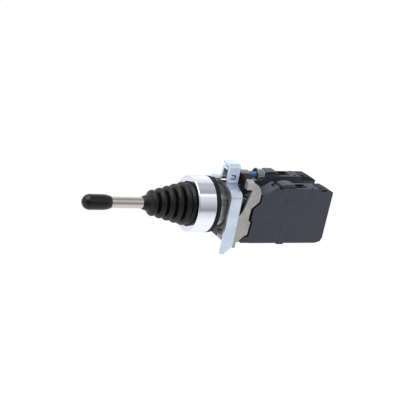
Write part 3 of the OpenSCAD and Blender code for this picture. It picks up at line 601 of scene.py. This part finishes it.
def makeBoot():
    neck = boxOf("boot")[1].z - boot["lipHeight"]
    crest = neck - boot["neckHeight"]
    lipOuter = [(radius, neck + height) for radius, height in boot["lipOuter"]]
    lipInner = [(radius, neck + height) for radius, height in boot["lipInner"]]
    upperOuter, lowerOuter = splitSide(
        lipOuter + foldSide(crest, 0) + boot["footOuter"], boot["seamOuter"])
    upperInner, lowerInner = splitSide(
        lipInner + foldSide(crest, boot["wall"]) + boot["footInner"], boot["seamInner"])
    rubber, steps, smoothAngle = materials["rubber_black"], boot["steps"], boot["smoothAngle"]
    upper = lathe("bootUpper", upperOuter + upperInner[::-1], rubber, steps, smoothAngle)
    lower = lathe("bootLower", lowerOuter + lowerInner[::-1], rubber, steps, smoothAngle)
    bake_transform(lower)
    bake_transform(upper)
    for piece in (upper, lower):
        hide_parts("boot")


makeBoot()

# The knob, in millimetres: its bore's play round the shaft and room over it, its skirt as
# radius and height above its lower end, and the heights between which it is straight
knob = {"play": 0.015, "overShaft": 0.2, "boreFoot": 0.02, "straight": (4.4, 7.5),
        "skirt": [(2.95, 0.0), (3.1, 0.12), (3.2, 0.5), (3.36, 1.0), (3.55, 1.7), (3.72, 2.5),
                  (3.82, 3.3)],
        "domeSteps": 18, "steps": 96, "smoothAngle": 50}


def makeKnob():
    low, high = boxOf("knob")
    shaft = boxOf("lever_shaft")[1]
    radius, bore = high.x, shaft.x + knob["play"]
    boreTop = shaft.z + knob["overShaft"]
    outline = [(bore, low.z + knob["boreFoot"])]
    outline += [(wide, low.z + height) for wide, height in knob["skirt"]]
    outline += [(radius, low.z + height) for height in knob["straight"]]
    outline += arc(0.0, high.z - radius, radius, 0, 90, knob["domeSteps"])
    outline += [(0.0, boreTop), (bore, boreTop)]
    piece = lathe("knobPiece", outline, materials["knob_black"], knob["steps"],
                  knob["smoothAngle"])
    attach(piece, "lever")
    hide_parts("knob")


makeKnob()

# The springs are copied as the CAD has them, without giving way. The plunger springs' end
# coils are in millimetres, and returnKeep is a share of the return spring's height
spring = {"endCoil": 0.5, "returnKeep": 0.7, "smoothAngle": 60}


# A copy of a node's shape as a new mesh, with its loose triangles merged
def copiedShape(node):
    bm = bmesh.new()
    bm.from_mesh(frame["nodes"][node].data)
    bm.transform(frame["nodes"][node].matrix_world)
    bmesh.ops.remove_doubles(bm, verts=bm.verts, dist=mergeGap)
    return bm


def dressSpring(node):
    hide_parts(node)


def makePlungerSpring(block):
    low, high = (Vector(corner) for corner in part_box(block + "_spring"))
    foot, top = low.copy(), low.copy()
    foot.z, top.z = low.z + spring["endCoil"] * mm, high.z - spring["endCoil"] * mm
    piece = meshObject(block + "_coil", copiedShape(block + "_spring"), materials["spring_steel"],
                       spring["smoothAngle"])
    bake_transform(piece)
    dressSpring(block + "_spring")


def makeReturnSpring():
    piece = meshObject("returnCoil", copiedShape("return_spring"), materials["spring_steel"],
                       spring["smoothAngle"])
    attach(piece, "root")
    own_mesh(piece)
    dressSpring("return_spring")


for block in blocks:
    makePlungerSpring(block)
makeReturnSpring()
print("head, boot, knob and springs made")

# Camera to one side of the head, in front of the panel and a little above the lever's axis:
# its own three directions, its place, its lens and sensor in millimetres, and the nearest
# distance that it sees, in metres
view = {"right": Vector((0.42709, 0.19059, -0.88390)),
        "up": Vector((-0.38548, 0.92263, 0.01268)),
        "back": Vector((0.81793, 0.33530, 0.46751)),
        "place": Vector((403.039, 162.908, 229.977)) * mm, "lens": 83.1, "sensor": 36,
        "nearest": 0.01}


def makeCamera():
    data = bpy.data.cameras.new("camera")
    data.sensor_width = view["sensor"]
    data.lens = view["lens"]
    data.clip_start = view["nearest"]
    camera = bpy.data.objects.new("camera", data)
    scene.collection.objects.link(camera)
    turn = Matrix((view["right"], view["up"], view["back"])).transposed()
    camera.matrix_world = Matrix.Translation(view["place"]) @ turn.to_4x4()
    scene.camera = camera


makeCamera()

# Floor disc below the part: it shows nearly white, with a trace of the shadow that falls on it
floorDisc = {"radius": 0.2, "level": -0.15, "segments": 96, "colour": (0.9, 0.9, 0.9, 1.0),
             "roughness": 0.9, "whiteness": 0.97}


# 1 for the kinds of ray that are named
def seenBy(tree, kinds):
    path = tree.nodes.new("ShaderNodeLightPath")
    seen = 0.0
    for kind in kinds:
        seen = calc(tree, "ADD", seen, path.outputs[kind], True)
    return seen


def makeFloor():
    material = bpy.data.materials.new("floorPaint")
    material.use_nodes = True
    tree = material.node_tree
    shader = tree.nodes["Principled BSDF"]
    shader.inputs["Base Color"].default_value = floorDisc["colour"]
    shader.inputs["Roughness"].default_value = floorDisc["roughness"]
    glow = tree.nodes.new("ShaderNodeEmission")
    mix = tree.nodes.new("ShaderNodeMixShader")
    seen = seenBy(tree, ("Is Camera Ray", "Is Glossy Ray", "Is Transmission Ray"))
    wire(tree, calc(tree, "MULTIPLY", seen, floorDisc["whiteness"]), mix.inputs[0])
    wire(tree, shader.outputs[0], mix.inputs[1])
    wire(tree, glow.outputs[0], mix.inputs[2])
    wire(tree, mix.outputs[0], tree.nodes["Material Output"].inputs[0])
    bm = bmesh.new()
    bmesh.ops.create_circle(bm, cap_ends=True, segments=floorDisc["segments"],
                            radius=floorDisc["radius"])
    bmesh.ops.translate(bm, vec=(0, 0, floorDisc["level"]), verts=bm.verts)
    meshObject("floor", bm, material)


makeFloor()

# Soft boxes face a point on the lever's axis. Each stands right, up and towards the viewer from
# there, in metres, and only the key light shows in shiny pieces
centre = Vector((0, 0, -0.01))
softBoxes = {
    "keyLight": {"place": (-0.3, 0.9, 0.54), "size": 1.0, "power": 11.0, "shows": True},
    "fillLight": {"place": (0.5, 0.1, 0.85), "size": 0.6, "power": 1.5, "shows": False},
    "rimLight": {"place": (0.5, 0.55, -0.4), "size": 0.4, "power": 2.0, "shows": False},
}


def makeLights():
    for name, values in softBoxes.items():
        right, up, back = values["place"]
        place = centre + view["right"] * right + view["up"] * up + view["back"] * back
        data = bpy.data.lights.new(name, "AREA")
        data.shape = "SQUARE"
        data.size = values["size"]
        data.energy = values["power"]
        lamp = bpy.data.objects.new(name, data)
        scene.collection.objects.link(lamp)
        lamp.visible_glossy = values["shows"]
        lamp.location = place
        lamp.rotation_euler = (centre - place).to_track_quat("-Z", "Y").to_euler()


makeLights()

# White and grey flats stand round the part: brightness by the angle round Z, in degrees
flats = [(-180, 0.9), (-150, 0.95), (-110, 1.1), (-60, 1.15), (-42, 1.05), (-22, 0.86),
         (-11, 0.62), (-6, 0.36), (2, 0.4), (12, 0.52), (24, 0.65), (36, 0.78), (50, 0.88),
         (52, 1.2), (61, 1.2), (63, 0.44), (76, 0.47), (86, 0.57), (112, 0.62), (117, 0.95),
         (128, 0.95), (150, 1.2), (170, 1.2), (180, 0.9)]
# Tint of the room, and how much darker it is on the viewer's side, by the cosine of the angle
studio = {"tint": (0.97, 0.98, 1.0, 1.0), "viewerShade": 0.6, "viewerStep": (0.66, 0.95)}


def makeWorld():
    world = bpy.data.worlds.new("studio")
    scene.world = world
    world.use_nodes = True
    tree = world.node_tree
    direction = tree.nodes.new("ShaderNodeTexCoord").outputs["Generated"]
    split = tree.nodes.new("ShaderNodeSeparateXYZ")
    wire(tree, direction, split.inputs[0])
    angle = calc(tree, "ARCTAN2", split.outputs[1], split.outputs[0])
    turn = calc(tree, "ADD", calc(tree, "DIVIDE", angle, math.tau), 0.5)
    bands = tree.nodes.new("ShaderNodeValToRGB")
    wire(tree, turn, bands.inputs[0])
    stops = bands.color_ramp.elements
    stops[0].position, stops[1].position = 0.0, 1.0
    for degrees, _ in flats[1:-1]:
        stops.new(degrees / 360 + 0.5)
    for stop, (degrees, value) in zip(stops, flats):
        stop.color = (value, value, value, 1.0)
    toViewer = tree.nodes.new("ShaderNodeVectorMath")
    toViewer.operation = "DOT_PRODUCT"
    wire(tree, direction, toViewer.inputs[0])
    toViewer.inputs[1].default_value = view["back"]
    near = ramp(tree, toViewer.outputs["Value"], *studio["viewerStep"])
    level = calc(tree, "SUBTRACT", 1.0, calc(tree, "MULTIPLY", near, studio["viewerShade"]))
    room = tree.nodes["Background"]
    wire(tree, blendColour(tree, 1.0, bands.outputs[0], studio["tint"], "MULTIPLY"),
         room.inputs["Color"])
    wire(tree, level, room.inputs["Strength"])
    white = tree.nodes.new("ShaderNodeBackground")
    white.inputs["Color"].default_value = (1, 1, 1, 1)
    mix = tree.nodes.new("ShaderNodeMixShader")
    wire(tree, seenBy(tree, ("Is Camera Ray", "Is Transmission Ray")), mix.inputs[0])
    wire(tree, room.outputs[0], mix.inputs[1])
    wire(tree, white.outputs[0], mix.inputs[2])
    wire(tree, mix.outputs[0], tree.nodes["World Output"].inputs[0])


makeWorld()
print("camera, floor and lights made")
